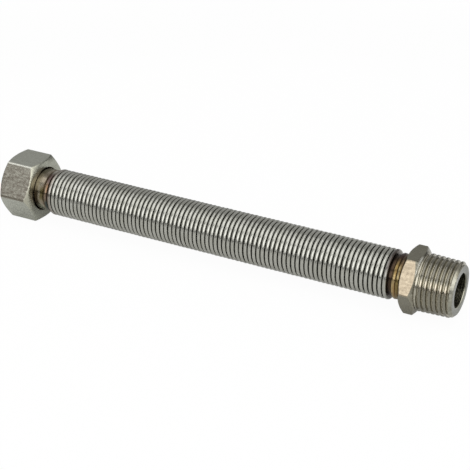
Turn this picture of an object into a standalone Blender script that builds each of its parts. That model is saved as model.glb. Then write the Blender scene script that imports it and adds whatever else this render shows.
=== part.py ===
"""Extensible corrugated stainless steel hose with a loose union nut and a taper-threaded nipple.

Lengths are in metres. The hose lies along X with the nut at -X and the nipple at +X. The nut's
lowest flat lies in the floor plane Z = 0, and the hose is centred over the origin.
"""

import math

import bmesh
import bpy

# Bellows tube, pressed together to its shortest length
CREST_COUNT = 81
CREST_PITCH = 0.001775
CREST_RADIUS = 0.0093
CREST_TOP_WIDTH = 0.0007
CREST_ROOF = 0.0006
VALLEY_RADIUS = 0.0071
BORE_RADIUS = 0.0062
TUBE_WALL = 0.0003
CUFF_RADIUS = 0.0075
CUFF_LENGTH_NUT_END = 0.0019
CUFF_LENGTH_NIPPLE_END = 0.0026

# Union nut for a 1/2 inch pipe thread
NUT_FLATS = 0.024
NUT_LENGTH = 0.0139
NUT_FACE_RADIUS = 0.0113
NUT_WALL = 0.0023
NUT_HOLE_RADIUS = 0.0087
NUT_HOLE_CHAMFER = 0.0003
NUT_THREAD_RADIUS = 0.0093155
NUT_MOUTH_RADIUS = 0.0106

# Collar that the nut pulls on, and the flat seal in front of it
FLANGE_THICKNESS = 0.002
NECK_SHOWN = 0.0042
SPIGOT_LENGTH = 0.0017
SEAL_THICKNESS = 0.002
SEAL_BORE_RADIUS = 0.0065

# Weld beads between the tube's cuffs and its fittings
BEAD_WIDTH = 0.0014
BEAD_HEIGHT = 0.00075

# Nipple with a 1/2 inch taper thread
NIPPLE_FLATS = 0.022
NIPPLE_HEX_WIDTH = 0.0053
NIPPLE_FACE_RADIUS = 0.0108
STUB_LENGTH = 0.0021
STUB_RING_WIDTH = 0.0014
STUB_RING_RADIUS = 0.0085
STUB_RING_BEVEL = 0.00035
STUB_GROOVE_RADIUS = 0.0077
THREAD_LENGTH = 0.014
THREAD_GAUGE_RADIUS = 0.0104775
THREAD_GAUGE_LENGTH = 0.0082
THREAD_TAPER = 1 / 32
THREAD_CHAMFER = 0.0011
THREAD_PITCH = 0.001814
THREAD_DEPTH = 0.00105
THREAD_HALF_ANGLE = math.radians(27.5)
THREAD_ROOT_WIDTH = 0.0003
THREAD_START = 0.0011
THREAD_RUN_IN_TURNS = 0.4
THREAD_CUT_MARGIN = 0.0002
NIPPLE_BORE_CHAMFER = 0.0003

# Clearances
TOUCH_GAP = 0.0003
FLANGE_CLEARANCE = 0.00015
SEAL_CLEARANCE = 0.0003
NECK_CLEARANCE = 0.0004
SPIGOT_CLEARANCE = 0.0005

# Chamfer of both hexagons, measured from their end faces
HEX_CHAMFER_SLOPE = math.tan(math.radians(30))
BLANK_MARGIN = 0.0002

# Sides of the polygons that stand for circles
BELLOWS_SIDES = 14
TURNED_SIDES = 36

SHARP_ANGLE = math.radians(32)

# Radii that follow from the sizes above
CAVITY_RADIUS = CREST_RADIUS - CREST_ROOF
CUFF_BORE_RADIUS = CUFF_RADIUS - TUBE_WALL
SPIGOT_RADIUS = CUFF_BORE_RADIUS - SPIGOT_CLEARANCE
NECK_RADIUS = NUT_HOLE_RADIUS - NECK_CLEARANCE
FLANGE_RADIUS = NUT_THREAD_RADIUS - FLANGE_CLEARANCE
SEAL_RADIUS = NUT_THREAD_RADIUS - SEAL_CLEARANCE
BEAD_BORE_RADIUS = CUFF_RADIUS + TOUCH_GAP
AXIS_HEIGHT = NUT_FLATS / 2

# Stations along the hose, counted from the nut's open face
FLANGE_BACK = NUT_LENGTH - NUT_WALL - TOUCH_GAP
FLANGE_FRONT = FLANGE_BACK - FLANGE_THICKNESS
SEAL_BACK = FLANGE_FRONT - TOUCH_GAP
NECK_END = NUT_LENGTH + NECK_SHOWN
TUBE_START = NECK_END + TOUCH_GAP
FIRST_CREST = TUBE_START + CUFF_LENGTH_NUT_END + CREST_PITCH / 2
LAST_CREST = FIRST_CREST + (CREST_COUNT - 1) * CREST_PITCH
TUBE_END = LAST_CREST + CREST_PITCH / 2 + CUFF_LENGTH_NIPPLE_END
STUB_START = TUBE_END + TOUCH_GAP
HEX_START = STUB_START + STUB_LENGTH
OVERALL_LENGTH = HEX_START + NIPPLE_HEX_WIDTH + THREAD_LENGTH


def clear_scene():
    for thing in list(bpy.data.objects):
        bpy.data.objects.remove(thing, do_unlink=True)


def metal(name, colour, roughness, metallic=1.0):
    material = bpy.data.materials.new(name)
    material.use_nodes = True
    shader = material.node_tree.nodes["Principled BSDF"]
    shader.inputs["Base Color"].default_value = (*colour, 1.0)
    shader.inputs["Roughness"].default_value = roughness
    shader.inputs["Metallic"].default_value = metallic
    return material


def hose_axis():
    """The empty that carries every piece, on the hose's centre line at the nut's open face."""
    axis = bpy.data.objects.new("hose_axis", None)
    axis.location = (-OVERALL_LENGTH / 2, 0, AXIS_HEIGHT)
    bpy.context.collection.objects.link(axis)
    return axis


def soften(mesh):
    mesh.shade_smooth()
    mesh.set_sharp_from_angle(angle=SHARP_ANGLE)


def turned(name, outline, sides, material, axis, station):
    """A piece turned about X from a closed outline of (distance past the station, radius)."""
    half_side = math.pi / sides
    shape = bmesh.new()
    ring = [
        shape.verts.new((x, radius * math.cos(half_side), radius * math.sin(half_side)))
        for x, radius in outline
    ]
    edges = [shape.edges.new(pair) for pair in zip(ring, ring[1:] + ring[:1])]
    bmesh.ops.spin(
        shape,
        geom=ring + edges,
        cent=(0, 0, 0),
        axis=(1, 0, 0),
        angle=2 * math.pi,
        steps=sides,
        use_merge=True,
    )
    bmesh.ops.recalc_face_normals(shape, faces=shape.faces)
    mesh = bpy.data.meshes.new(name)
    shape.to_mesh(mesh)
    shape.free()
    soften(mesh)
    mesh.materials.append(material)
    piece = bpy.data.objects.new(name, mesh)
    piece.location.x = station
    piece.parent = axis
    bpy.context.collection.objects.link(piece)
    return piece


def carve(piece, shape, operation):
    """Applies one Boolean with a cutter's shape, and keeps the result as the piece's own mesh."""
    bmesh.ops.recalc_face_normals(shape, faces=shape.faces)
    mesh = bpy.data.meshes.new("cutter")
    shape.to_mesh(mesh)
    shape.free()
    cutter = bpy.data.objects.new("cutter", mesh)
    cutter.location.x = piece.location.x
    cutter.parent = piece.parent
    bpy.context.collection.objects.link(cutter)
    cut = piece.modifiers.new("cut", "BOOLEAN")
    cut.operation = operation
    cut.solver = "EXACT"
    cut.object = cutter
    bpy.context.view_layer.update()
    graph = bpy.context.evaluated_depsgraph_get()
    whole = bpy.data.meshes.new_from_object(piece.evaluated_get(graph))
    whole.name = piece.name
    piece.modifiers.clear()
    piece.data = whole
    soften(whole)
    bpy.data.objects.remove(cutter, do_unlink=True)


def cut_hexagon(piece, flats, length):
    """Cuts a turned piece to a hexagon that stands on a flat."""
    shape = bmesh.new()
    corner = flats / math.sqrt(3)
    points = [
        shape.verts.new((-length, corner * math.cos(turn), corner * math.sin(turn)))
        for turn in (math.radians(60 * side) for side in range(6))
    ]
    face = shape.faces.new(points)
    grown = bmesh.ops.extrude_face_region(shape, geom=[face])
    moved = [part for part in grown["geom"] if isinstance(part, bmesh.types.BMVert)]
    bmesh.ops.translate(shape, vec=(3 * length, 0, 0), verts=moved)
    carve(piece, shape, "INTERSECT")


def chamfered_blank(flats, face_radius, start, width):
    """The outline of a bar wider than the hexagon, with both ends chamfered down to its end faces."""
    blank_radius = flats / math.sqrt(3) + BLANK_MARGIN
    chamfer = (blank_radius - face_radius) * HEX_CHAMFER_SLOPE
    return [
        (start, face_radius),
        (start + chamfer, blank_radius),
        (start + width - chamfer, blank_radius),
        (start + width, face_radius),
    ]


def make_tube(axis, material):
    """Rings of bellows between two plain cuffs, with the wall folded inside as it is outside."""
    crests = [FIRST_CREST - TUBE_START + CREST_PITCH * count for count in range(CREST_COUNT)]
    length = TUBE_END - TUBE_START
    half_top = CREST_TOP_WIDTH / 2
    half_pitch = CREST_PITCH / 2
    outside = [(0, CUFF_RADIUS), (crests[0] - half_pitch, CUFF_RADIUS)]
    for crest in crests:
        outside.append((crest - half_top, CREST_RADIUS))
        outside.append((crest + half_top, CREST_RADIUS))
        outside.append((crest + half_pitch, VALLEY_RADIUS))
    outside[-1] = (crests[-1] + half_pitch, CUFF_RADIUS)
    outside.append((length, CUFF_RADIUS))
    inside = [(0, CUFF_BORE_RADIUS), (crests[0] - half_pitch + TUBE_WALL, CUFF_BORE_RADIUS)]
    for crest in crests:
        inside.append((crest, CAVITY_RADIUS))
        inside.append((crest + half_pitch, BORE_RADIUS))
    inside[-1] = (crests[-1] + half_pitch - TUBE_WALL, CUFF_BORE_RADIUS)
    inside.append((length, CUFF_BORE_RADIUS))
    outline = outside + inside[::-1]
    return turned("corrugated_tube", outline, BELLOWS_SIDES, material, axis, TUBE_START)


def make_nut(axis, material):
    """The hexagonal nut: threaded from its open face, with a wall at the back that pulls on the collar."""
    mouth_depth = NUT_MOUTH_RADIUS - NUT_THREAD_RADIUS
    outline = chamfered_blank(NUT_FLATS, NUT_FACE_RADIUS, 0, NUT_LENGTH)
    outline += [
        (NUT_LENGTH, NUT_HOLE_RADIUS + NUT_HOLE_CHAMFER),
        (NUT_LENGTH - NUT_HOLE_CHAMFER, NUT_HOLE_RADIUS),
        (NUT_LENGTH - NUT_WALL, NUT_HOLE_RADIUS),
        (NUT_LENGTH - NUT_WALL, NUT_THREAD_RADIUS),
        (mouth_depth, NUT_THREAD_RADIUS),
        (0, NUT_MOUTH_RADIUS),
    ]
    nut = turned("union_nut", outline, TURNED_SIDES, material, axis, 0)
    cut_hexagon(nut, NUT_FLATS, NUT_LENGTH)
    return nut


def make_collar(axis, material):
    """Flange inside the nut, neck through the nut's back wall, and a spigot in the tube's cuff."""
    neck_end = NECK_END - FLANGE_FRONT
    outline = [
        (0, FLANGE_RADIUS),
        (FLANGE_THICKNESS, FLANGE_RADIUS),
        (FLANGE_THICKNESS, NECK_RADIUS),
        (neck_end, NECK_RADIUS),
        (neck_end, SPIGOT_RADIUS),
        (neck_end + SPIGOT_LENGTH, SPIGOT_RADIUS),
        (neck_end + SPIGOT_LENGTH, BORE_RADIUS),
        (0, BORE_RADIUS),
    ]
    return turned("nut_collar", outline, TURNED_SIDES, material, axis, FLANGE_FRONT)


def make_seal(axis, material):
    outline = [
        (-SEAL_THICKNESS, SEAL_RADIUS),
        (0, SEAL_RADIUS),
        (0, SEAL_BORE_RADIUS),
        (-SEAL_THICKNESS, SEAL_BORE_RADIUS),
    ]
    return turned("sealing_gasket", outline, TURNED_SIDES, material, axis, SEAL_BACK)


def make_bead(name, station, axis, material):
    """A rounded ring of weld around a cuff, starting at the station."""
    arc_points = 5
    outline = [(BEAD_WIDTH, BEAD_BORE_RADIUS), (0, BEAD_BORE_RADIUS)]
    for count in range(arc_points):
        turn = math.pi * (count + 0.5) / arc_points
        x = BEAD_WIDTH / 2 * (1 - math.cos(turn))
        outline.append((x, BEAD_BORE_RADIUS + BEAD_HEIGHT * math.sin(turn)))
    return turned(name, outline, TURNED_SIDES, material, axis, station)


def thread_radius(distance_from_end):
    return THREAD_GAUGE_RADIUS + (distance_from_end - THREAD_GAUGE_LENGTH) * THREAD_TAPER


def cut_thread(piece):
    """Cuts a right-hand groove along the taper, from a run-in by the hexagon past the open end."""
    shape = bmesh.new()
    start = NIPPLE_HEX_WIDTH + THREAD_START
    reach = THREAD_LENGTH - THREAD_START + THREAD_PITCH
    steps = math.ceil(reach / THREAD_PITCH * TURNED_SIDES)
    half_root = THREAD_ROOT_WIDTH / 2
    half_top = half_root + (THREAD_DEPTH + THREAD_CUT_MARGIN) * math.tan(THREAD_HALF_ANGLE)
    sections = []
    for step in range(steps + 1):
        turns = step / TURNED_SIDES
        turn = math.pi / 2 + math.pi / TURNED_SIDES + 2 * math.pi * turns
        x = start + turns * THREAD_PITCH
        crest = thread_radius(NIPPLE_HEX_WIDTH + THREAD_LENGTH - x)
        lift = (THREAD_DEPTH + THREAD_CUT_MARGIN) * max(0, 1 - turns / THREAD_RUN_IN_TURNS)
        root = crest - THREAD_DEPTH + lift
        top = crest + THREAD_CUT_MARGIN + lift
        corners = [(x - half_top, top), (x - half_root, root), (x + half_root, root), (x + half_top, top)]
        sections.append([
            shape.verts.new((along, radius * math.cos(turn), radius * math.sin(turn)))
            for along, radius in corners
        ])
    for here, after in zip(sections, sections[1:]):
        for side in range(4):
            following = (side + 1) % 4
            shape.faces.new((here[side], here[following], after[following], after[side]))
    shape.faces.new(sections[0])
    shape.faces.new(sections[-1])
    carve(piece, shape, "DIFFERENCE")


def make_nipple(axis, material):
    """Spigot, ringed stub, hexagon and taper thread, turned in one piece and bored through."""
    ring_end = STUB_RING_WIDTH - STUB_LENGTH
    ring_side = STUB_RING_RADIUS - STUB_RING_BEVEL
    thread_end = NIPPLE_HEX_WIDTH + THREAD_LENGTH
    outline = [
        (-STUB_LENGTH - SPIGOT_LENGTH, BORE_RADIUS),
        (-STUB_LENGTH - SPIGOT_LENGTH, SPIGOT_RADIUS),
        (-STUB_LENGTH, SPIGOT_RADIUS),
        (-STUB_LENGTH, ring_side),
        (-STUB_LENGTH + STUB_RING_BEVEL, STUB_RING_RADIUS),
        (ring_end - STUB_RING_BEVEL, STUB_RING_RADIUS),
        (ring_end, ring_side),
        (ring_end, STUB_GROOVE_RADIUS),
        (0, STUB_GROOVE_RADIUS),
    ]
    outline += chamfered_blank(NIPPLE_FLATS, NIPPLE_FACE_RADIUS, 0, NIPPLE_HEX_WIDTH)
    outline += [
        (NIPPLE_HEX_WIDTH, thread_radius(THREAD_LENGTH)),
        (thread_end - THREAD_CHAMFER, thread_radius(THREAD_CHAMFER)),
        (thread_end, thread_radius(0) - THREAD_CHAMFER),
        (thread_end, BORE_RADIUS + NIPPLE_BORE_CHAMFER),
        (thread_end - NIPPLE_BORE_CHAMFER, BORE_RADIUS),
    ]
    nipple = turned("male_nipple", outline, TURNED_SIDES, material, axis, HEX_START)
    cut_hexagon(nipple, NIPPLE_FLATS, thread_end)
    cut_thread(nipple)
    return nipple


def build():
    clear_scene()
    hose_steel = metal("hose_steel", (0.46, 0.46, 0.42), 0.28)
    fitting_steel = metal("fitting_steel", (0.40, 0.39, 0.34), 0.38)
    tinted_steel = metal("tinted_steel", (0.36, 0.26, 0.13), 0.34)
    seal_rubber = metal("seal_rubber", (0.03, 0.03, 0.032), 0.7, metallic=0.0)
    axis = hose_axis()
    make_tube(axis, hose_steel)
    make_nut(axis, fitting_steel)
    make_collar(axis, fitting_steel)
    make_seal(axis, seal_rubber)
    make_bead("weld_bead_nut_end", TUBE_START, axis, tinted_steel)
    make_bead("weld_bead_nipple_end", TUBE_END - BEAD_WIDTH, axis, tinted_steel)
    make_nipple(axis, fitting_steel)
    bpy.context.view_layer.update()


build()
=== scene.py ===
"""The looks of an extensible corrugated steel hose: fine bellows, cut threads, welds and their heat tint.

Lengths are in metres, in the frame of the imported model: +X along the hose towards the nipple, +Z up.
"""

import math
import random

import bpy
import numpy as np
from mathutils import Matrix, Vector


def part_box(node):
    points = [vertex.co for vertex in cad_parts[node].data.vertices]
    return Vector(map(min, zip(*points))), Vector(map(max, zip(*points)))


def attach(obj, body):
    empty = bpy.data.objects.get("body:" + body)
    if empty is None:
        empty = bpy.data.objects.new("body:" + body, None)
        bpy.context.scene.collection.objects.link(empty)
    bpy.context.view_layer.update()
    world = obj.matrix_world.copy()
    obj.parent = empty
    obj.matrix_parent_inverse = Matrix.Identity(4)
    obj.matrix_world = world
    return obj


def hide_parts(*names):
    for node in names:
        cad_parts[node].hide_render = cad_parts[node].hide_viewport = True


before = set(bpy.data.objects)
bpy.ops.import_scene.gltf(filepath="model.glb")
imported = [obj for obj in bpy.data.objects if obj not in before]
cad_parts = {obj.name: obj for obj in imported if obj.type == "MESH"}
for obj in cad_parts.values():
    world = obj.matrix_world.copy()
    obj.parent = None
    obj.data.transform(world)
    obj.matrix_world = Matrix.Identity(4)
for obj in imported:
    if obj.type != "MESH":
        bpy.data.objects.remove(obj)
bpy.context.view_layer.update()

# Places that the frame gives
NUT_LOW, NUT_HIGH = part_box("union_nut")
TUBE_LOW, TUBE_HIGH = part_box("corrugated_tube")
COLLAR_LOW, COLLAR_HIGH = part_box("nut_collar")
SEAL_LOW, SEAL_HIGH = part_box("sealing_gasket")
NIPPLE_LOW, NIPPLE_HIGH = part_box("male_nipple")
NUT_BEAD_LOW, NUT_BEAD_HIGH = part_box("weld_bead_nut_end")
NIPPLE_BEAD_LOW, NIPPLE_BEAD_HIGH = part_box("weld_bead_nipple_end")

AXIS_HEIGHT = (NUT_LOW.z + NUT_HIGH.z) / 2
NUT_FLATS = NUT_HIGH.z - NUT_LOW.z
NIPPLE_FLATS = NIPPLE_HIGH.z - NIPPLE_LOW.z
CREST_RADIUS = (TUBE_HIGH.z - TUBE_LOW.z) / 2
FLANGE_RADIUS = (COLLAR_HIGH.z - COLLAR_LOW.z) / 2
SEAL_RADIUS = (SEAL_HIGH.z - SEAL_LOW.z) / 2
BEAD_RADIUS = (NUT_BEAD_HIGH.z - NUT_BEAD_LOW.z) / 2

# Bellows
CREST_COUNT = 81
CREST_PITCH = 0.001775
CREST_HALF_WIDTH = 0.00072
CREST_ROUNDING = 0.00045
CREST_CROWN = 0.00005
VALLEY_RADIUS = 0.0069
VALLEY_HALF_WIDTH = 0.00010
BELLOWS_BORE_RADIUS = 0.0065
CAVITY_HALF_WIDTH = 0.00028
CAVITY_ROOF = 0.00045
TUBE_WALL = 0.0003
CUFF_RADIUS = 0.0075
CUFF_LENGTH_NUT_END = 0.0019
BELLOWS_SIDES = 92

# Where the first fold begins and the last one ends
FOLDS_START = TUBE_LOW.x + CUFF_LENGTH_NUT_END
FOLDS_END = FOLDS_START + CREST_PITCH * CREST_COUNT

# How far the folds stray from their places, and how that is drawn
CREST_WANDER = 0.00003
WANDER_SEED = 4
LEAN_TURN = 6.28

# Both hexagons
CORNER_ROUNDING = 0.0008
EDGE_ROUNDING = 0.0003
CHAMFER_SLOPE = math.tan(math.radians(30))
SIDE_STEPS = 12
CORNER_STEPS = 6

# Middle of the rounding where a chamfer meets a flat, in shares of that rounding's tangent
EDGE_MIDDLE_ALONG = 0.056
EDGE_MIDDLE_INWARD = 0.154

# A face belongs to the flats if its normal leans along the hose by less than this
FLAT_LEAN = 0.2

# How far inside a corner the middle of its rounding lies, as a share of the rounding
ROUND_MIDDLE = 0.3

# Union nut and what it holds
NUT_FACE_RADIUS = 0.0113
NUT_WALL = 0.0023
NUT_HOLE_RADIUS = 0.0087
NUT_MOUTH_RADIUS = 0.0106
NUT_THREAD_RADIUS = 0.0093155
NUT_UNDERCUT = 0.0012
NECK_RADIUS = 0.0083
NECK_END_BEVEL = 0.0002
NECK_OFFSET = 0.00026
NECK_OFFSET_ANGLE = math.radians(42)
BORE_RADIUS = 0.0062
FLANGE_THICKNESS = 0.002
SPIGOT_LENGTH = 0.0017
SPIGOT_RADIUS = 0.0067
COLLAR_SIDES = 72
SEAL_BORE_RADIUS = 0.0065
SEAL_ROUNDING = 0.00025
SEAL_SIDES = 64

# Where the collar's neck ends, and where the weld bead beside it does
NECK_END = COLLAR_HIGH.x - SPIGOT_LENGTH
CUFF_SIDE = NUT_BEAD_HIGH.x

# Weld beads, which fall to the cuff through this arc of their section
BEAD_BORE_GAP = 0.0001
BEAD_RIPPLE = 0.00006
BEAD_ARC = math.radians(146)
BEAD_FULLNESS = 0.7
BEAD_TO_FITTING = 0.00027
BEAD_STEPS = 8
BEAD_RIPPLES = 30
SIDES_PER_RIPPLE = 4

# Nipple
NIPPLE_FACE_RADIUS = 0.0108
NIPPLE_HEX_WIDTH = 0.0053
THREAD_LENGTH = 0.014
STUB_LENGTH = 0.0021
STUB_RING_WIDTH = 0.0014
STUB_RING_RADIUS = 0.0085
STUB_RING_CROWN = 0.0004
STUB_RING_FULLNESS = 0.6
STUB_RING_STEPS = 7
STUB_GROOVE_RADIUS = 0.0077
THREAD_GAUGE_RADIUS = 0.0104775
THREAD_GAUGE_LENGTH = 0.0082
THREAD_TAPER = 1 / 32
THREAD_CHAMFER = 0.0011
THREAD_START = 0.0011
THREAD_LIP = 0.0003
THREAD_FIRST_RING = 0.00036
THREAD_RUN_OUT_DEPTH = 0.0005
BORE_CHAMFER = 0.0004

# Both threads
THREAD_PITCH = 0.001814
THREAD_DEPTH = 0.00105
THREAD_STEPS = 14

# Shares of half a pitch, from the middle of the groove to the middle of the crest
ROOT_LAND_TO = 0.08
CREST_LAND_FROM = 0.72

# Edges sharper than this stay sharp
SHARP_ANGLE = math.radians(50)

# Camera, fitted to the photograph
CAMERA_PLACE = (0.212698, -0.400098, 0.256033)
CAMERA_AZIMUTH = math.radians(27.404)
CAMERA_ELEVATION = math.radians(28.432)
CAMERA_LENS = 104.215
SENSOR_WIDTH = 36
CAMERA_CLIP_START = 0.01


def make_camera():
    back = Vector((
        math.sin(CAMERA_AZIMUTH) * math.cos(CAMERA_ELEVATION),
        -math.cos(CAMERA_AZIMUTH) * math.cos(CAMERA_ELEVATION),
        math.sin(CAMERA_ELEVATION),
    ))
    lens = bpy.data.cameras.new("camera")
    lens.lens = CAMERA_LENS
    lens.sensor_width = SENSOR_WIDTH
    lens.clip_start = CAMERA_CLIP_START
    camera = bpy.data.objects.new("camera", lens)
    camera.location = CAMERA_PLACE
    camera.rotation_mode = "QUATERNION"
    camera.rotation_quaternion = (-back).to_track_quat("-Z", "Y")
    bpy.context.scene.collection.objects.link(camera)
    bpy.context.scene.camera = camera


# Shapes

def lathe(name, angles, rings, materials):
    """A closed piece woven from rings round the hose's axis.

    Each ring is (x, radius), with one value or one for each angle. The rings run towards +X on the
    outside and back on the inside, and the last joins the first.
    """
    angles = np.asarray(angles)
    count = len(angles)
    points = np.empty((len(rings), count, 3))
    for row, (x, radius) in enumerate(rings):
        points[row, :, 0] = x
        points[row, :, 1] = radius * np.cos(angles)
        points[row, :, 2] = AXIS_HEIGHT + radius * np.sin(angles)
    here = np.arange(len(rings) * count).reshape(len(rings), count)
    after = np.roll(here, -1, axis=0)
    faces = np.stack([here, np.roll(here, -1, axis=1), np.roll(after, -1, axis=1), after], axis=-1)
    mesh = bpy.data.meshes.new(name)
    mesh.from_pydata(points.reshape(-1, 3).tolist(), [], faces.reshape(-1, 4).tolist())
    mesh.shade_smooth()
    mesh.set_sharp_from_angle(angle=SHARP_ANGLE)
    for material in materials:
        mesh.materials.append(material)
    piece = bpy.data.objects.new(name, mesh)
    bpy.context.scene.collection.objects.link(piece)
    weigh = piece.modifiers.new("even_normals", "WEIGHTED_NORMAL")
    weigh.keep_sharp = True
    return piece


def even_angles(sides):
    return np.arange(sides) * 2 * math.pi / sides


def hexagon(flats):
    """Angles round a hexagon that stands on a flat, and its radius at each, with rounded corners."""
    apothem = flats / 2
    centre = (apothem - CORNER_ROUNDING) / math.cos(math.radians(30))
    straight = apothem * math.tan(math.radians(30)) - CORNER_ROUNDING * math.tan(math.radians(30))
    angles = []
    radii = []
    for side in range(6):
        corner = math.radians(60 * side)
        for step in range(1, CORNER_STEPS):
            turn = math.radians(60 * step / CORNER_STEPS - 30)
            y = centre + CORNER_ROUNDING * math.cos(turn)
            z = CORNER_ROUNDING * math.sin(turn)
            angles.append(corner + math.atan2(z, y))
            radii.append(math.hypot(y, z))
        for step in range(SIDE_STEPS + 1):
            along = straight * (2 * step / SIDE_STEPS - 1)
            angles.append(corner + math.radians(30) + math.atan2(along, apothem))
            radii.append(math.hypot(along, apothem))
    return np.array(angles), np.array(radii)


def hexagon_rings(radii, face_radius, start, width):
    """Rings over a chamfered hexagon, with a small rounding where its chamfers meet its flats."""
    tangent = EDGE_ROUNDING * math.tan(math.radians(30))
    depth = (radii - face_radius) * CHAMFER_SLOPE
    along = tangent * math.cos(math.radians(60))
    across = tangent * math.sin(math.radians(60))
    lead = [
        (0, face_radius),
        (depth - along, radii - across),
        (depth + tangent * EDGE_MIDDLE_ALONG, radii - tangent * EDGE_MIDDLE_INWARD),
        (depth + tangent, radii),
    ]
    near = [(start + x, r) for x, r in lead]
    far = [(start + width - x, r) for x, r in reversed(lead)]
    return near + far


def split_flats(piece, flats):
    """Gives the second material to the hexagon's flats, corners included."""
    nearest = flats / 2 - EDGE_ROUNDING
    for face in piece.data.polygons:
        reach = math.hypot(face.center.y, face.center.z - AXIS_HEIGHT)
        if abs(face.normal.x) < FLAT_LEAN and reach > nearest:
            face.material_index = 1


def groove(x, angles, start):
    """Depth of a right-hand thread's groove, from 0 on its crest to 1 at its root.

    The groove's middle crosses the top of the hose at the start.
    """
    turns = (x - start) / THREAD_PITCH - (angles - math.pi / 2) / (2 * math.pi)
    from_root = 2 * np.abs((turns + 0.5) % 1 - 0.5)
    slope = np.clip((CREST_LAND_FROM - from_root) / (CREST_LAND_FROM - ROOT_LAND_TO), 0, 1)
    return slope * slope * (3 - 2 * slope)


def crest_profile():
    """Points over one fold, as (distance along, depth below its top)."""
    corner = CREST_HALF_WIDTH - CREST_ROUNDING
    half = []
    for turn in map(math.radians, (90, 45, 0)):
        depth = CREST_CROWN + CREST_ROUNDING * (1 - math.cos(turn))
        half.append((corner + CREST_ROUNDING * math.sin(turn), depth))
    left = [(-side, depth) for side, depth in half]
    return left + [(0, 0)] + half[::-1]


def make_tube(material):
    """Rounded folds close together, with the wall folded inside as it is outside."""
    random.seed(WANDER_SEED)
    angles = even_angles(BELLOWS_SIDES)
    start, end = TUBE_LOW.x, TUBE_HIGH.x
    half_pitch = CREST_PITCH / 2
    first = FOLDS_START + half_pitch
    cuff_bore = CUFF_RADIUS - TUBE_WALL
    outside = [(start, CUFF_RADIUS), (FOLDS_START, CUFF_RADIUS)]
    inside = [(start, cuff_bore), (FOLDS_START, cuff_bore)]
    for count in range(CREST_COUNT):
        centre = first + CREST_PITCH * count
        lean = CREST_WANDER * random.uniform(-1, 1) * np.cos(angles - random.uniform(0, LEAN_TURN))
        x = centre + CREST_WANDER * random.uniform(-1, 1) + lean
        top = CREST_RADIUS - CREST_WANDER * random.uniform(0, 2)
        for side, depth in crest_profile():
            outside.append((x + side, top - depth))
        inside.append((centre - CAVITY_HALF_WIDTH, CREST_RADIUS - CAVITY_ROOF))
        inside.append((centre + CAVITY_HALF_WIDTH, CREST_RADIUS - CAVITY_ROOF))
        if count < CREST_COUNT - 1:
            valley = centre + half_pitch
            outside.append((valley - VALLEY_HALF_WIDTH, VALLEY_RADIUS))
            outside.append((valley + VALLEY_HALF_WIDTH, VALLEY_RADIUS))
            inside.append((valley - VALLEY_HALF_WIDTH - TUBE_WALL, BELLOWS_BORE_RADIUS))
            inside.append((valley + VALLEY_HALF_WIDTH + TUBE_WALL, BELLOWS_BORE_RADIUS))
    outside += [(FOLDS_END, CUFF_RADIUS), (end, CUFF_RADIUS)]
    inside += [(FOLDS_END, cuff_bore), (end, cuff_bore)]
    return lathe("bellows", angles, outside + inside[::-1], [material])


def make_nut(turned, milled):
    """A chamfered hexagon with a thread inside, an undercut behind that and a hole for the neck."""
    angles, radii = hexagon(NUT_FLATS)
    start, end = NUT_LOW.x, NUT_HIGH.x
    rings = hexagon_rings(radii, NUT_FACE_RADIUS, start, end - start)
    lip = EDGE_ROUNDING
    rings += [
        (end, NUT_HOLE_RADIUS + lip),
        (end - lip * ROUND_MIDDLE, NUT_HOLE_RADIUS + lip * ROUND_MIDDLE),
        (end - lip, NUT_HOLE_RADIUS),
        (end - NUT_WALL, NUT_HOLE_RADIUS),
    ]
    thread_end = end - NUT_WALL - NUT_UNDERCUT
    root = NUT_THREAD_RADIUS + THREAD_DEPTH
    rings += [(end - NUT_WALL, root), (thread_end, root)]
    steps = round((thread_end - start) / THREAD_PITCH * THREAD_STEPS)
    for step in range(1, steps):
        x = thread_end + (start - thread_end) * step / steps
        radius = NUT_THREAD_RADIUS + THREAD_DEPTH * groove(x, angles, start)
        rings.append((x, np.maximum(radius, NUT_MOUTH_RADIUS - (x - start))))
    rings.append((start, NUT_MOUTH_RADIUS))
    nut = lathe("nut_body", angles, rings, [turned, milled])
    split_flats(nut, NUT_FLATS)
    return nut


def make_collar(material):
    """A flange inside the nut, a neck through its back wall, and a spigot in the tube's cuff.

    The neck stands a little off the hose's axis.
    """
    angles = even_angles(COLLAR_SIDES)
    start = COLLAR_LOW.x
    bevel = EDGE_ROUNDING
    end_middle = NECK_END_BEVEL * ROUND_MIDDLE
    neck = NECK_RADIUS + NECK_OFFSET * np.cos(angles - math.pi + NECK_OFFSET_ANGLE)
    rings = [
        (start, FLANGE_RADIUS - bevel),
        (start + bevel, FLANGE_RADIUS),
        (start + FLANGE_THICKNESS - bevel, FLANGE_RADIUS),
        (start + FLANGE_THICKNESS, FLANGE_RADIUS - bevel),
        (start + FLANGE_THICKNESS, neck),
        (NECK_END - NECK_END_BEVEL, neck),
        (NECK_END - end_middle, NECK_RADIUS - end_middle),
        (NECK_END, NECK_RADIUS - NECK_END_BEVEL),
        (NECK_END, SPIGOT_RADIUS),
        (COLLAR_HIGH.x, SPIGOT_RADIUS),
        (COLLAR_HIGH.x, BORE_RADIUS),
        (start + BORE_CHAMFER, BORE_RADIUS),
        (start, BORE_RADIUS + BORE_CHAMFER),
    ]
    return lathe("collar_body", angles, rings, [material])


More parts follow.
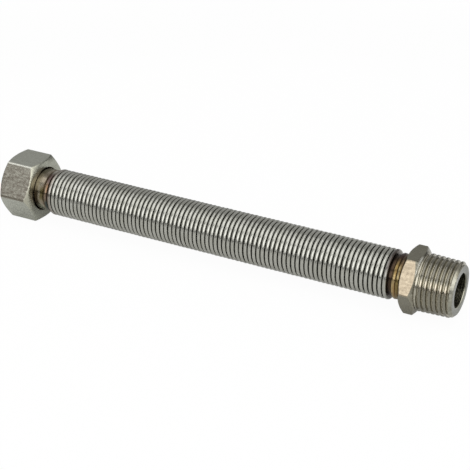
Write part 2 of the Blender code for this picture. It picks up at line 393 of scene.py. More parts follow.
def make_seal(material):
    """A flat ring with rounded edges."""
    start, end = SEAL_LOW.x, SEAL_HIGH.x
    corner = SEAL_ROUNDING
    middle = SEAL_ROUNDING * ROUND_MIDDLE
    rings = [
        (start, SEAL_RADIUS - corner),
        (start + middle, SEAL_RADIUS - middle),
        (start + corner, SEAL_RADIUS),
        (end - corner, SEAL_RADIUS),
        (end - middle, SEAL_RADIUS - middle),
        (end, SEAL_RADIUS - corner),
        (end, SEAL_BORE_RADIUS + corner),
        (end - corner, SEAL_BORE_RADIUS),
        (start + corner, SEAL_BORE_RADIUS),
        (start, SEAL_BORE_RADIUS + corner),
    ]
    return lathe("seal_ring", even_angles(SEAL_SIDES), rings, [material])


def make_bead(name, cuff_side, fitting_side, material):
    """A weld bead that falls to the cuff on one side and runs into the fitting on the other.

    Its back shows the ripples that the torch left.
    """
    angles = even_angles(BEAD_RIPPLES * SIDES_PER_RIPPLE)
    bore = CUFF_RADIUS + BEAD_BORE_GAP
    wave = 0.5 + 0.5 * np.cos(angles * BEAD_RIPPLES)
    top = BEAD_RADIUS - BEAD_RIPPLE * wave
    rings = [(fitting_side, bore), (cuff_side, bore)]
    for step in range(1, BEAD_STEPS + 1):
        turn = BEAD_ARC * step / BEAD_STEPS
        share = (1 - math.cos(turn)) / (1 - math.cos(BEAD_ARC))
        x = cuff_side + (fitting_side - cuff_side) * share
        rings.append((x, bore + (top - bore) * math.sin(turn) ** BEAD_FULLNESS))
    if cuff_side > fitting_side:
        rings = rings[1::-1] + rings[:1:-1]
    return lathe(name, angles, rings, [material])


def thread_radius(distance_from_end):
    return THREAD_GAUGE_RADIUS + (distance_from_end - THREAD_GAUGE_LENGTH) * THREAD_TAPER


# Places on the nipple
HEX_END = NIPPLE_HIGH.x - THREAD_LENGTH
HEX_START = HEX_END - NIPPLE_HEX_WIDTH
END_FACE_RADIUS = thread_radius(0) - THREAD_CHAMFER


def make_nipple(turned, milled):
    """A spigot in the tube's cuff, a stub with a raised ring, a hexagon, and a tapered thread."""
    angles, radii = hexagon(NIPPLE_FLATS)
    end = NIPPLE_HIGH.x
    stub_start = HEX_START - STUB_LENGTH
    ring_end = stub_start + STUB_RING_WIDTH
    rings = [
        (NIPPLE_LOW.x, BORE_RADIUS),
        (NIPPLE_LOW.x, SPIGOT_RADIUS),
        (stub_start, SPIGOT_RADIUS),
    ]
    for step in range(STUB_RING_STEPS + 1):
        turn = math.pi * step / STUB_RING_STEPS
        x = stub_start + (ring_end - stub_start) * (1 - math.cos(turn)) / 2
        fall = STUB_RING_CROWN * (1 - math.sin(turn) ** STUB_RING_FULLNESS)
        rings.append((x, STUB_RING_RADIUS - fall))
    rings += [(ring_end, STUB_GROOVE_RADIUS), (HEX_START, STUB_GROOVE_RADIUS)]
    rings += hexagon_rings(radii, NIPPLE_FACE_RADIUS, HEX_START, NIPPLE_HEX_WIDTH)
    rings.append((HEX_END + THREAD_LIP, NIPPLE_FACE_RADIUS - THREAD_LIP))
    steps = round(THREAD_LENGTH / THREAD_PITCH * THREAD_STEPS)
    for step in range(1, steps):
        left = THREAD_LENGTH * (1 - step / steps)
        x = end - left
        if x < HEX_END + THREAD_FIRST_RING:
            continue
        radius = thread_radius(left) - THREAD_DEPTH * groove(x, angles, HEX_END + THREAD_START)
        if x < HEX_END + THREAD_START:
            radius = np.minimum(radius, thread_radius(left) - THREAD_RUN_OUT_DEPTH)
        rings.append((x, np.minimum(radius, END_FACE_RADIUS + left)))
    rings += [
        (end, END_FACE_RADIUS),
        (end, BORE_RADIUS + BORE_CHAMFER),
        (end - BORE_CHAMFER, BORE_RADIUS),
    ]
    nipple = lathe("nipple_body", angles, rings, [turned, milled])
    split_flats(nipple, NIPPLE_FLATS)
    return nipple


# Materials

def display(red, green, blue):
    """A colour as a screen shows it, 0 to 255, in the linear values that shaders take (sRGB's curve)."""
    return tuple(
        (v / 255 / 12.92) if v < 10.3 else ((v / 255 + 0.055) / 1.055) ** 2.4
        for v in (red, green, blue)
    ) + (1.0,)


def connect(tree, value, socket):
    """Links another node's output to a socket, or sets the socket to a plain value."""
    if isinstance(value, bpy.types.NodeSocket):
        tree.links.new(value, socket)
    else:
        socket.default_value = value


def calculate(tree, operation, *values):
    made = tree.nodes.new("ShaderNodeMath")
    made.operation = operation
    for socket, value in zip(made.inputs, values):
        connect(tree, value, socket)
    return made.outputs[0]


def map_range(tree, value, low, high, to_low=0.0, to_high=1.0, smooth=False):
    """Carries a value from one range to another, and holds it past their ends."""
    made = tree.nodes.new("ShaderNodeMapRange")
    if smooth:
        made.interpolation_type = "SMOOTHSTEP"
    connect(tree, value, made.inputs["Value"])
    made.inputs["From Min"].default_value = low
    made.inputs["From Max"].default_value = high
    made.inputs["To Min"].default_value = to_low
    connect(tree, to_high, made.inputs["To Max"])
    return made.outputs[0]


class Finish:
    """The node tree of one material, with short ways to add what these metals share."""

    def __init__(self, name):
        self.material = bpy.data.materials.new(name)
        self.material.use_nodes = True
        self.tree = self.material.node_tree
        self.shader = self.tree.nodes["Principled BSDF"]
        place = self.node("ShaderNodeTexCoord").outputs["Object"]
        centred = self.node("ShaderNodeVectorMath", operation="SUBTRACT")
        self.feed(centred.inputs[0], place)
        centred.inputs[1].default_value = (0, 0, AXIS_HEIGHT)
        self.place = centred.outputs[0]
        apart = self.node("ShaderNodeSeparateXYZ")
        self.feed(apart.inputs[0], self.place)
        self.along = apart.outputs[0]
        flat = self.node("ShaderNodeCombineXYZ")
        self.feed(flat.inputs[1], apart.outputs[1])
        self.feed(flat.inputs[2], apart.outputs[2])
        length = self.node("ShaderNodeVectorMath", operation="LENGTH")
        self.feed(length.inputs[0], flat.outputs[0])
        self.radius = length.outputs["Value"]
        outward = self.node("ShaderNodeVectorMath", operation="NORMALIZE")
        self.feed(outward.inputs[0], flat.outputs[0])
        self.outward = outward.outputs[0]

    def node(self, kind, **settings):
        made = self.tree.nodes.new(kind)
        for key, value in settings.items():
            setattr(made, key, value)
        return made

    def feed(self, socket, value):
        connect(self.tree, value, socket)

    def calculate(self, operation, first, second):
        return calculate(self.tree, operation, first, second)

    def span(self, value, low, high, to_low=0.0, to_high=1.0):
        """Passes softly from one value to another while the first value crosses a range."""
        return map_range(self.tree, value, low, high, to_low, to_high, smooth=True)

    def spread(self, noise, to_low=0.0, to_high=1.0):
        """Noise, most of which lies in its middle, spread over this range."""
        return self.span(noise, NOISE_LOW, NOISE_HIGH, to_low, to_high)

    def side(self, degrees):
        """How far a point lies towards this angle round the axis: 1 there, -1 opposite.

        The angle is 0 at the front and 90 at the top.
        """
        turn = math.radians(degrees)
        made = self.node("ShaderNodeVectorMath", operation="DOT_PRODUCT")
        self.feed(made.inputs[0], self.outward)
        made.inputs[1].default_value = (0, -math.cos(turn), math.sin(turn))
        return made.outputs["Value"]

    def near(self, degrees, reach):
        """1 at an angle round the axis, falling to 0 this many degrees away from it."""
        return self.span(self.side(degrees), math.cos(math.radians(reach)), 1)

    def mix(self, factor, first, second):
        made = self.node("ShaderNodeMix", data_type="RGBA")
        self.feed(made.inputs[0], factor)
        self.feed(made.inputs[6], first)
        self.feed(made.inputs[7], second)
        return made.outputs[2]

    def noise(self, size, detail=3.0, vector=None):
        """Cloudy noise whose blobs are about this size, in metres."""
        made = self.node("ShaderNodeTexNoise")
        self.feed(made.inputs["Vector"], self.place if vector is None else vector)
        made.inputs["Scale"].default_value = 1 / size
        made.inputs["Detail"].default_value = detail
        return made.outputs[0]

    def lathe_marks(self, size):
        """Noise that is the same all round the axis, as a tool leaves it."""
        rolled = self.node("ShaderNodeCombineXYZ")
        self.feed(rolled.inputs[0], self.along)
        self.feed(rolled.inputs[1], self.radius)
        return self.noise(size, detail=2.0, vector=rolled.outputs[0])

    def drawn_marks(self, size, stretch):
        """Noise drawn out along the hose, as a bar's flats have it."""
        scaled = self.node("ShaderNodeVectorMath", operation="MULTIPLY")
        self.feed(scaled.inputs[0], self.place)
        scaled.inputs[1].default_value = (1 / stretch, 1, 1)
        return self.noise(size, vector=scaled.outputs[0])

    def bump(self, height, depth, under=None):
        made = self.node("ShaderNodeBump")
        made.inputs["Strength"].default_value = 1.0
        made.inputs["Distance"].default_value = depth
        self.feed(made.inputs["Height"], height)
        if under is not None:
            self.feed(made.inputs["Normal"], under)
        return made.outputs[0]

    def ramp(self, value, stops):
        """Colours along a value: stops are (place, colour)."""
        low, high = stops[0][0], stops[-1][0]
        made = self.node("ShaderNodeValToRGB")
        self.feed(made.inputs[0], map_range(self.tree, value, low, high))
        scale = made.color_ramp
        while len(scale.elements) < len(stops):
            scale.elements.new(0.5)
        for element, (place, colour) in zip(scale.elements, stops):
            element.position = (place - low) / (high - low)
            element.color = colour
        return made.outputs[0]

    def done(self, colour, roughness, normal, metallic=1.0):
        self.feed(self.shader.inputs["Base Color"], colour)
        self.feed(self.shader.inputs["Roughness"], roughness)
        self.feed(self.shader.inputs["Normal"], normal)
        self.shader.inputs["Metallic"].default_value = metallic
        return self.material


# Lengths over which one tone passes into another
TONE_FADE = 0.0001
PATCH_FADE = 0.0005
CORNER_LIGHTING_FADE = 0.00008

# The painted highlight and shade on the nut's front corners start at this share of half the nut's flats
CORNER_LIGHTING_FROM = 1.134

# Folds from each end of the bellows within which the welds' heat tint fades
HEAT_FOLDS_NUT_END = 1.3
HEAT_FOLDS_NIPPLE_END = (1.2, 0.4)

# Sizes of the marks on the metals and the rubber
HOSE_CLOUD_SIZE = 0.004
HOSE_STREAK_SIZE = 0.0007
TURNED_CLOUD_SIZE = 0.0025
SOOT_SIZE = 0.0012
HEAT_DRIFT_SIZE = 0.003
LATHE_MARK_SIZE = 0.0003
DRAWN_MARK_SIZE = 0.0006
DRAWN_STRETCH = 6
GRAIN_SIZE = 0.0006
FINE_GRAIN_SIZE = 0.0005
RUBBER_GRAIN_SIZE = 0.0004

# Depths of the marks that stand up or are cut in
LATHE_MARK_DEPTH = 0.00002
DRAWN_MARK_DEPTH = 0.00001
WELD_GRAIN_DEPTH = 0.00002
FINE_GRAIN_DEPTH = 0.000012
RUBBER_GRAIN_DEPTH = 0.00003

# Noise lies mostly between these values
NOISE_LOW = 0.3
NOISE_HIGH = 0.7

# Marks by noise: the range of the noise that they take up, and what they go from and to
HOSE_CLOUDS = (0.35, 0.65)
HOSE_STREAKS = (0.4, 0.8, 0, 0.25)
TURNED_SOOT = (0.35, 0.7, 0, 0.15)
MILLED_MARKS = (0.35, 0.68)
HEATED_SOOT = (0.4, 0.75, 0, 0.35)
HEAT_DRIFT = (0.2, 0.8, -0.0003, 0.0003)

# Mottling of the flats that aren't the front one
PLAIN_MOTTLING = 0.12

# Roughness, from the smoothest spots to the roughest
BRIGHT = (0.18, 0.28)
SATIN = (0.24, 0.34)
MATT = (0.6, 0.8)

# Tones on one side of the axis, most of which stand for the photograph's light: the angle of each
# tone's middle, 0 at the front and 90 at the top, and how many degrees it reaches
NUT_FRONT = (25, 62)
THREAD_SHADE = (60, 30)
THREAD_GLINT = (24, 12)
END_FACE_SHADED_BACK = (135, 85)
BORE_SHADE_SIDE = (165, 60)
LAST_FOLD_HEAT_AND_SHADE = (74, 72)
HIGHLIGHT_CORNER = 60
SHADE_CORNER = 0
FRONT_FLAT = 30

# Cosines of the angles where the front flat and the corners with painted highlight and shade begin and are
# whole
FLAT_EDGE = (0.84, 0.88)
CORNER_EDGE = (0.9, 0.95)

HOSE_COLOUR = display(172, 172, 165)
HOSE_CLOUD_COLOUR = display(164, 164, 156)
HOSE_STREAK_COLOUR = display(140, 139, 128)
# Painted shade down in the hose's valleys
VALLEY_SHADE_COLOUR = display(70, 69, 58)
NUT_COLOUR = display(162, 164, 152)
# Painted sheen on the nut's chamfers and face towards the front
NUT_CHAMFER_SHEEN_COLOUR = display(192, 191, 174)
NUT_FACE_SHEEN_COLOUR = display(206, 204, 186)
NUT_FLAT_COLOUR = display(167, 169, 158)
# Painted sheen on the front flats: warmer than the other flats, and much lighter on the nipple
NUT_FRONT_FLAT_SHEEN_COLOUR = display(169, 167, 155)
NIPPLE_FLAT_COLOUR = display(126, 124, 110)
NIPPLE_FRONT_FLAT_SHEEN_COLOUR = display(170, 158, 137)
CREST_COLOUR = display(130, 127, 115)
SHADE_COLOUR = display(116, 113, 103)
GLINT_COLOUR = display(178, 170, 153)
# Painted light: the thread's groove lighter than its crests
GROOVE_FILL_LIGHT_COLOUR = display(166, 162, 148)
END_FACE_COLOUR = display(120, 121, 112)
END_FACE_SHADED_BACK_COLOUR = display(98, 99, 91)
BORE_COLOUR = display(180, 178, 162)
BORE_SHADE_SIDE_COLOUR = display(122, 121, 108)
# Painted shade inside the nut's hole and thread
NUT_BORE_SHADE_COLOUR = display(128, 120, 104)
SOOT_COLOUR = display(72, 55, 44)
# Painted highlight and painted shade for the nut's front corners
CORNER_HIGHLIGHT_COLOUR = display(198, 198, 188)
CORNER_SHADE_COLOUR = display(118, 113, 102)
RUBBER_COLOUR = display(38, 38, 40)
RUBBER_GREY_COLOUR = display(52, 52, 53)


def hose_steel():
    """Bright strip with painted shade down in the folds, brown where the welds heated it, and on the last
    fold that brown laid over its upper side as painted shade.
    """
    finish = Finish("hose_steel")
    cloud = finish.noise(HOSE_CLOUD_SIZE)
    streak = finish.noise(HOSE_STREAK_SIZE)
    colour = finish.mix(finish.span(cloud, *HOSE_CLOUDS), HOSE_COLOUR, HOSE_CLOUD_COLOUR)
    colour = finish.mix(finish.span(streak, *HOSE_STREAKS), colour, HOSE_STREAK_COLOUR)
    # Painted shade: darker towards the bottom of each valley
    height = finish.span(finish.radius, VALLEY_RADIUS, CREST_RADIUS - 3 * TONE_FADE)
    colour = finish.mix(height, VALLEY_SHADE_COLOUR, colour)
    brown = finish.ramp(finish.along, [
        (TUBE_LOW.x, display(120, 104, 84)),
        (FOLDS_START, display(118, 106, 98)),
        (FOLDS_START + CREST_PITCH, display(138, 131, 123)),
        (FOLDS_END - CREST_PITCH, display(124, 121, 119)),
        (FOLDS_END, display(63, 52, 43)),
        (TUBE_HIGH.x, display(68, 54, 39)),
    ])
    nut_heat_end = FOLDS_START + CREST_PITCH * HEAT_FOLDS_NUT_END
    near_nut = finish.span(finish.along, FOLDS_START + 4 * TONE_FADE, nut_heat_end, 1, 0)
    colour = finish.mix(near_nut, colour, brown)
    heat_start, heat_full = (FOLDS_END - CREST_PITCH * folds for folds in HEAT_FOLDS_NIPPLE_END)
    near_nipple = finish.span(finish.along, heat_start, heat_full)
    # Heat tint on the last fold, laid only over its upper side, where it also stands as painted shade
    share = finish.calculate("MULTIPLY", near_nipple, finish.near(*LAST_FOLD_HEAT_AND_SHADE))
    colour = finish.mix(share, colour, brown)
    cuff = finish.span(finish.along, FOLDS_END - 3 * TONE_FADE, FOLDS_END)
    colour = finish.mix(cuff, colour, brown)
    normal = finish.bump(finish.noise(FINE_GRAIN_SIZE), FINE_GRAIN_DEPTH)
    return finish.done(colour, finish.spread(streak, *BRIGHT), normal)


def turned_steel(name, colour, chamfer_sheen_colour, face_colour):
    """Steel with the fine rings of a lathe tool, with a painted sheen towards the front and painted shade
    inside its bore.
    """
    finish = Finish(name)
    cloud = finish.noise(TURNED_CLOUD_SIZE)
    face = finish.span(finish.radius, NUT_FACE_RADIUS + TONE_FADE, NUT_FACE_RADIUS - TONE_FADE)
    # Painted sheen: lighter towards the front, lightest on the face
    front_sheen_colour = finish.mix(face, chamfer_sheen_colour, face_colour)
    tone = finish.mix(finish.near(*NUT_FRONT), colour, front_sheen_colour)
    tone = finish.mix(finish.span(cloud, *TURNED_SOOT), tone, SOOT_COLOUR)
    # Painted shade inside the hole and the thread
    outside = finish.span(finish.radius, NUT_HOLE_RADIUS + TONE_FADE, NUT_HOLE_RADIUS + 3 * TONE_FADE)
    tone = finish.mix(outside, NUT_BORE_SHADE_COLOUR, tone)
    normal = finish.bump(finish.lathe_marks(LATHE_MARK_SIZE), LATHE_MARK_DEPTH)
    normal = finish.bump(finish.noise(GRAIN_SIZE), FINE_GRAIN_DEPTH, normal)
    return finish.done(tone, finish.spread(cloud, *SATIN), normal)


def milled_steel(name, colour, front_sheen_colour, mottling, lit_corners_radius=None):
    """The flats of drawn hexagon bar, with a painted sheen on the front one, which is mottled by this much.

    Past the radius given, the upper front corner carries a painted highlight and the lower one painted
    shade.
    """
    finish = Finish(name)
    cloud = finish.noise(SOOT_SIZE, detail=4.0)
    grain = finish.noise(FINE_GRAIN_SIZE)
    # Painted sheen: the front flat takes its own tone
    front = finish.span(finish.side(FRONT_FLAT), *FLAT_EDGE)
    tone = finish.mix(front, colour, front_sheen_colour)
    drawn = finish.drawn_marks(DRAWN_MARK_SIZE, DRAWN_STRETCH)
    amount = finish.span(front, 0, 1, PLAIN_MOTTLING, mottling)
    for marks in (cloud, drawn):
        share = finish.calculate("MULTIPLY", finish.span(marks, *MILLED_MARKS), amount)
        tone = finish.mix(share, tone, SOOT_COLOUR)
    # Painted highlight on the upper front corner, painted shade on the lower one
    if lit_corners_radius is not None:
        lit_corners = finish.span(finish.radius, lit_corners_radius - CORNER_LIGHTING_FADE, lit_corners_radius)
        for degrees, corner_light_colour in ((HIGHLIGHT_CORNER, CORNER_HIGHLIGHT_COLOUR), (SHADE_CORNER, CORNER_SHADE_COLOUR)):
            at_corner = finish.span(finish.side(degrees), *CORNER_EDGE)
            share = finish.calculate("MULTIPLY", lit_corners, at_corner)
            tone = finish.mix(share, tone, corner_light_colour)
    normal = finish.bump(grain, FINE_GRAIN_DEPTH)
    normal = finish.bump(drawn, DRAWN_MARK_DEPTH, normal)
    return finish.done(tone, finish.spread(grain, *SATIN), normal)


def thread_tones(finish, colour):
    """Puts the nipple's thread, darker on its crests than in its groove, and its end face over a colour;
    the lighter groove is painted light.
    """
    taper = finish.calculate("MULTIPLY", finish.along, -THREAD_TAPER)
    crest = finish.calculate("ADD", taper, thread_radius(NIPPLE_HIGH.x))
    depth = finish.calculate("SUBTRACT", crest, finish.radius)
    beyond = finish.span(finish.along, HEX_END + 3 * TONE_FADE, HEX_END + 4 * TONE_FADE)
    chamfer_start = NIPPLE_HIGH.x - THREAD_CHAMFER
    before = finish.span(finish.along, chamfer_start + 2 * TONE_FADE, chamfer_start - 2 * TONE_FADE)
    share = finish.calculate("MULTIPLY", beyond, before)
    thread_colour = finish.mix(finish.near(*THREAD_SHADE), CREST_COLOUR, SHADE_COLOUR)
    thread_colour = finish.mix(finish.near(*THREAD_GLINT), thread_colour, GLINT_COLOUR)
    # Painted light: the groove is lighter than the crests
    cut = finish.span(depth, TONE_FADE, 6 * TONE_FADE)
    thread_colour = finish.mix(cut, thread_colour, GROOVE_FILL_LIGHT_COLOUR)
    colour = finish.mix(share, colour, thread_colour)
    face = finish.span(finish.radius, END_FACE_RADIUS, END_FACE_RADIUS - TONE_FADE)
    # Painted shade on the back of the end face
    face_colour = finish.mix(finish.near(*END_FACE_SHADED_BACK), END_FACE_COLOUR, END_FACE_SHADED_BACK_COLOUR)
    return finish.mix(finish.calculate("MULTIPLY", face, beyond), colour, face_colour)


def tinted_steel(name, stops, tint_and_light_patches, bore=None, thread=False):
    """Turned steel whose colour changes along the hose, as heat left it.

    Each patch is a colour at an angle round the axis, out to a number of degrees from it, between
    two places along the hose; patches mix heat tint with painted highlights and painted shade.
    A bore is the radius within which the bore's own tones show.
    """
    finish = Finish(name)
    drift = finish.span(finish.noise(HEAT_DRIFT_SIZE, detail=2.0), *HEAT_DRIFT)
    place = finish.calculate("ADD", finish.along, drift)
    colour = finish.ramp(place, stops)
    # Patches on one side of the axis: heat tint mixed with painted highlights and painted shade
    for degrees, reach, start, end, patch in tint_and_light_patches:
        within = finish.calculate(
            "MULTIPLY",
            finish.span(place, start - PATCH_FADE, start + PATCH_FADE),
            finish.span(place, end - PATCH_FADE, end + PATCH_FADE, 1, 0),
        )
        share = finish.calculate("MULTIPLY", finish.near(degrees, reach), within)
        colour = finish.mix(share, colour, patch)
    cloud = finish.noise(SOOT_SIZE)
    colour = finish.mix(finish.span(cloud, *HEATED_SOOT), colour, SOOT_COLOUR)
    if thread:
        colour = thread_tones(finish, colour)
    if bore is not None:
        outside = finish.span(finish.radius, bore, bore + 2 * TONE_FADE)
        # Painted shade on the back of the bore
        bore_colour = finish.mix(finish.near(*BORE_SHADE_SIDE), BORE_COLOUR, BORE_SHADE_SIDE_COLOUR)
        colour = finish.mix(outside, bore_colour, colour)
    normal = finish.bump(finish.lathe_marks(LATHE_MARK_SIZE), LATHE_MARK_DEPTH)
    normal = finish.bump(finish.noise(GRAIN_SIZE), WELD_GRAIN_DEPTH, normal)
    return finish.done(colour, finish.spread(cloud, *BRIGHT), normal)


def seal_rubber():
    finish = Finish("seal_rubber")
    grain = finish.noise(RUBBER_GRAIN_SIZE)
    colour = finish.mix(finish.spread(grain), RUBBER_COLOUR, RUBBER_GREY_COLOUR)
    normal = finish.bump(grain, RUBBER_GRAIN_DEPTH)
    return finish.done(colour, finish.spread(grain, *MATT), normal, metallic=0.0)


# Studio

FLOOR_HALF_WIDTH = 4.0
FLOOR_DROP = 0.0001
FLOOR_WHITE_IN_VIEW = 0.96
FLOOR_WHITE_IN_METAL = 0.2
FLOOR_EDGE_FROM = 0.2
FLOOR_EDGE_TO = 0.35
FLOOR_COLOUR = (0.79, 0.79, 0.78, 1)
# Painted shade: the floor's colour far from the hose
FLOOR_FAR_SHADE_COLOUR = (0.12, 0.12, 0.12, 1)
ROOM_WHITE_IN_VIEW = 1.0
ROOM_WHITE_IN_METAL = 0.1

SOFTBOX_DISTANCE = 1.2


def white_share(tree, in_view, in_metal):
    """How far a ray sees plain white, from 0 to 1: in the camera's view, and in the metal's reflections."""
    ray = tree.nodes.new("ShaderNodeLightPath").outputs
    seen = calculate(tree, "MAXIMUM", ray["Is Camera Ray"], ray["Is Transmission Ray"])
    mirrored = calculate(tree, "MULTIPLY", ray["Is Glossy Ray"], in_metal)
    return calculate(tree, "MULTIPLY_ADD", seen, in_view, mirrored)


def floor_finish():
    """Plain white to the camera, but for the hose's own faint shadow, and dark in metal far from it, where
    its colour darkens as painted shade.
    """
    material = bpy.data.materials.new("floor")
    material.use_nodes = True
    tree = material.node_tree
    tree.nodes.clear()
    paper = tree.nodes.new("ShaderNodeBsdfDiffuse")
    white = tree.nodes.new("ShaderNodeEmission")
    mix = tree.nodes.new("ShaderNodeMixShader")
    place = tree.nodes.new("ShaderNodeTexCoord")
    distance = tree.nodes.new("ShaderNodeVectorMath")
    distance.operation = "LENGTH"
    tree.links.new(place.outputs["Object"], distance.inputs[0])

    def outwards(near, far):
        return map_range(tree, distance.outputs["Value"], FLOOR_EDGE_FROM, FLOOR_EDGE_TO, near, far)

    # Painted shade: the floor's colour darkens far from the hose
    tone = tree.nodes.new("ShaderNodeMix")
    tone.data_type = "RGBA"
    tree.links.new(outwards(0, 1), tone.inputs[0])
    tone.inputs[6].default_value = FLOOR_COLOUR
    tone.inputs[7].default_value = FLOOR_FAR_SHADE_COLOUR
    tree.links.new(tone.outputs[2], paper.inputs["Color"])
    share = white_share(tree, outwards(FLOOR_WHITE_IN_VIEW, 1), outwards(FLOOR_WHITE_IN_METAL, 0))
    tree.links.new(share, mix.inputs[0])
    tree.links.new(paper.outputs[0], mix.inputs[1])
    tree.links.new(white.outputs[0], mix.inputs[2])
    out = tree.nodes.new("ShaderNodeOutputMaterial")
    tree.links.new(mix.outputs[0], out.inputs["Surface"])
    return material


def make_floor():
    half = FLOOR_HALF_WIDTH
    mesh = bpy.data.meshes.new("floor")
    corners = [(-half, -half, 0), (half, -half, 0), (half, half, 0), (-half, half, 0)]
    mesh.from_pydata(corners, [], [(0, 1, 2, 3)])
    mesh.materials.append(floor_finish())
    floor = bpy.data.objects.new("floor", mesh)
    floor.location.z = -FLOOR_DROP
    bpy.context.scene.collection.objects.link(floor)


def make_softbox(name, azimuth, elevation, size, radiance):
    """A soft rectangular light aimed at the hose, which shows this radiance in reflections."""
    turn, rise = math.radians(azimuth), math.radians(elevation)
    towards = Vector((
        math.sin(turn) * math.cos(rise),
        -math.cos(turn) * math.cos(rise),
        math.sin(rise),
    ))
    lamp = bpy.data.lights.new(name, "AREA")
    lamp.shape = "RECTANGLE"
    lamp.size, lamp.size_y = size
    lamp.energy = radiance * math.pi * size[0] * size[1]
    box = bpy.data.objects.new(name, lamp)
    box.location = towards * SOFTBOX_DISTANCE + Vector((0, 0, AXIS_HEIGHT))
    box.rotation_mode = "QUATERNION"
    box.rotation_quaternion = towards.to_track_quat("Z", "Y")
    bpy.context.scene.collection.objects.link(box)


def make_world(low_strength, high_strength, horizon_top, full_height, even_height):
    """A plain grey room, dark in a low band round the floor's edge, and white to the camera.

    The room is dark up to the horizon's top, has its low strength at full height and passes to its
    high strength at even height. Heights are sines of elevation.
    """
    world = bpy.data.worlds.new("studio")
    world.use_nodes = True
    tree = world.node_tree
    direction = tree.nodes.new("ShaderNodeTexCoord")
    apart = tree.nodes.new("ShaderNodeSeparateXYZ")
    tree.links.new(direction.outputs["Generated"], apart.inputs[0])
    height = apart.outputs[2]
    grey = map_range(tree, height, full_height, even_height, low_strength, high_strength)
    rise = map_range(tree, height, horizon_top, full_height, 0.0, grey)
    blend = tree.nodes.new("ShaderNodeMix")
    tree.links.new(white_share(tree, ROOM_WHITE_IN_VIEW, ROOM_WHITE_IN_METAL), blend.inputs[0])
    tree.links.new(rise, blend.inputs[2])
    blend.inputs[3].default_value = 1
    sky = tree.nodes["Background"]
    sky.inputs["Color"].default_value = (1, 1, 1, 1)
    tree.links.new(blend.outputs[0], sky.inputs["Strength"])
    bpy.context.scene.world = world


def dress(piece, body, node):
    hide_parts(node)
    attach(piece, body)


make_camera()

# Collar: heat tint along the neck. Its patches are painted shade low at the front and at the top beside the
# nut's hole, a dimmer painted tone on the upper front of the neck, an olive heat tint near the weld that is
# also painted shade, and a grey-green tone lower down.
COLLAR_STEEL = tinted_steel("collar_steel", [
    (NUT_HIGH.x, display(146, 140, 124)),
    (NECK_END - 0.0010, display(150, 142, 126)),
    (NECK_END, display(134, 122, 106)),
], [
    (-6, 58, NUT_HIGH.x - 0.0050, NUT_HIGH.x + 0.0019, display(62, 53, 41)),
    (60, 26, NUT_HIGH.x, NECK_END, display(134, 126, 111)),
    (14, 26, NECK_END - 0.0016, NECK_END, display(96, 88, 58)),
    (-45, 30, NUT_HIGH.x + 0.0010, NECK_END, display(140, 142, 124)),
    (100, 34, NUT_HIGH.x - 0.0050, NUT_HIGH.x + 0.0006, display(66, 62, 50)),
])
# Nut-end weld: heat tint along it, with patches of heat tint and painted light: a copper painted highlight
# on the upper front, purple-brown deepened as painted shade towards the top, a light grey at the top, and
# olive and dark blue-grey bands low at the front.
NUT_WELD_STEEL = tinted_steel("nut_weld_steel", [
    (NECK_END, display(140, 126, 110)),
    (CUFF_SIDE - 0.0006, display(126, 110, 92)),
    (CUFF_SIDE, display(100, 86, 78)),
], [
    (66, 30, CUFF_SIDE - 0.0014, CUFF_SIDE, display(82, 70, 68)),
    (98, 26, NECK_END - 0.0004, CUFF_SIDE, display(166, 162, 152)),
    (31, 17, CUFF_SIDE - 0.0007, CUFF_SIDE, display(114, 88, 66)),
    (12, 24, NECK_END, NECK_END + 0.0004, display(100, 92, 62)),
    (-22, 28, CUFF_SIDE - 0.0012, CUFF_SIDE, display(56, 66, 64)),
])
# Nipple-end weld: heat tint along it, with painted shade at the top, light gold painted highlights on the
# front, and a copper-brown tone low at the front.
NIPPLE_WELD_STEEL = tinted_steel("nipple_weld_steel", [
    (TUBE_HIGH.x - 0.0014, display(78, 58, 40)),
    (TUBE_HIGH.x - 0.0009, display(124, 106, 70)),
    (TUBE_HIGH.x - 0.0004, display(118, 100, 62)),
    (TUBE_HIGH.x + 0.0003, display(104, 84, 48)),
], [
    (100, 48, TUBE_HIGH.x - 0.0020, TUBE_HIGH.x + 0.0020, display(66, 52, 48)),
    (15, 34, TUBE_HIGH.x - 0.0012, TUBE_HIGH.x - 0.0007, display(164, 146, 112)),
    (-8, 50, TUBE_HIGH.x - 0.0010, TUBE_HIGH.x + 0.0002, display(164, 144, 104)),
    (-12, 30, TUBE_HIGH.x - 0.0002, TUBE_HIGH.x + 0.0012, display(132, 102, 64)),
])
# Nipple: heat tint on the stub, darkest in the groove before the hexagon, where it is also painted shade.
# Its patches are painted shade at the top of the stub and of the hexagon's front, a near-white painted
# highlight where the thread starts, painted highlights on the stub ring and on the front of the end
# chamfer, and a grey tone low on the end chamfer.
NIPPLE_STEEL = tinted_steel("nipple_steel", [
    (HEX_START - 0.0021, display(126, 108, 68)),
    (HEX_START - 0.0014, display(122, 106, 66)),
    (HEX_START - 0.0007, display(92, 72, 44)),
    (HEX_START, display(142, 132, 112)),
    (HEX_START + 0.0012, display(150, 147, 132)),
], [
    (100, 75, HEX_END - 0.0030, HEX_END + 0.0002, display(124, 122, 110)),
    (60, 26, HEX_END - 0.00005, HEX_END + 0.0006, display(244, 244, 236)),
    (-20, 60, NIPPLE_HIGH.x - 0.0012, NIPPLE_HIGH.x, display(146, 146, 134)),
    (30, 34, NIPPLE_HIGH.x - 0.0012, NIPPLE_HIGH.x, display(172, 171, 158)),
    (90, 52, HEX_START - 0.0030, HEX_START - 0.0006, display(88, 74, 60)),
    (38, 20, HEX_START - 0.0018, HEX_START - 0.0013, display(150, 140, 112)),
], bore=BORE_RADIUS + 2 * TONE_FADE, thread=True)

dress(make_tube(hose_steel()), "hose", "corrugated_tube")
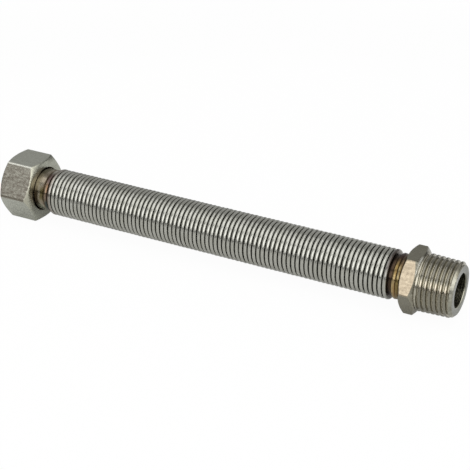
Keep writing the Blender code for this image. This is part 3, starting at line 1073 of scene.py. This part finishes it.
# The nut's flats, with a painted sheen on the front flat and painted highlight and shade on its front
# corners
NUT_FLAT_STEEL = milled_steel(
    "milled_nut_steel", NUT_FLAT_COLOUR, NUT_FRONT_FLAT_SHEEN_COLOUR,
    mottling=0.42, lit_corners_radius=NUT_FLATS / 2 * CORNER_LIGHTING_FROM,
)
NUT_TURNED_STEEL = turned_steel("turned_steel", NUT_COLOUR, NUT_CHAMFER_SHEEN_COLOUR, NUT_FACE_SHEEN_COLOUR)
NUT = make_nut(NUT_TURNED_STEEL, NUT_FLAT_STEEL)
dress(NUT, "nut", "union_nut")
dress(make_collar(COLLAR_STEEL), "hose", "nut_collar")
dress(make_seal(seal_rubber()), "hose", "sealing_gasket")
NUT_BEAD = make_bead("nut_end_weld", CUFF_SIDE, NUT_BEAD_LOW.x - BEAD_TO_FITTING, NUT_WELD_STEEL)
dress(NUT_BEAD, "hose", "weld_bead_nut_end")
NIPPLE_BEAD = make_bead(
    "nipple_end_weld", NIPPLE_BEAD_LOW.x, NIPPLE_BEAD_HIGH.x + BEAD_TO_FITTING, NIPPLE_WELD_STEEL
)
dress(NIPPLE_BEAD, "hose", "weld_bead_nipple_end")
NIPPLE_FLAT_STEEL = milled_steel(
    "milled_nipple_steel", NIPPLE_FLAT_COLOUR, NIPPLE_FRONT_FLAT_SHEEN_COLOUR, mottling=0.26
)
NIPPLE = make_nipple(NIPPLE_STEEL, NIPPLE_FLAT_STEEL)
dress(NIPPLE, "hose", "male_nipple")

make_floor()
make_world(low_strength=0.62, high_strength=0.49, horizon_top=0.09, full_height=0.17, even_height=0.8)
make_softbox("front_softbox", azimuth=12, elevation=28.5, size=(2.0, 0.8), radiance=1.8)
make_softbox("top_softbox", azimuth=-5, elevation=71, size=(2.4, 0.7), radiance=1.36)
make_softbox("rear_softbox", azimuth=-5, elevation=99, size=(1.0, 0.54), radiance=1.0)
make_softbox("right_softbox", azimuth=95, elevation=19, size=(1.0, 0.8), radiance=1.3)

bpy.context.scene.view_settings.view_transform = "Standard"
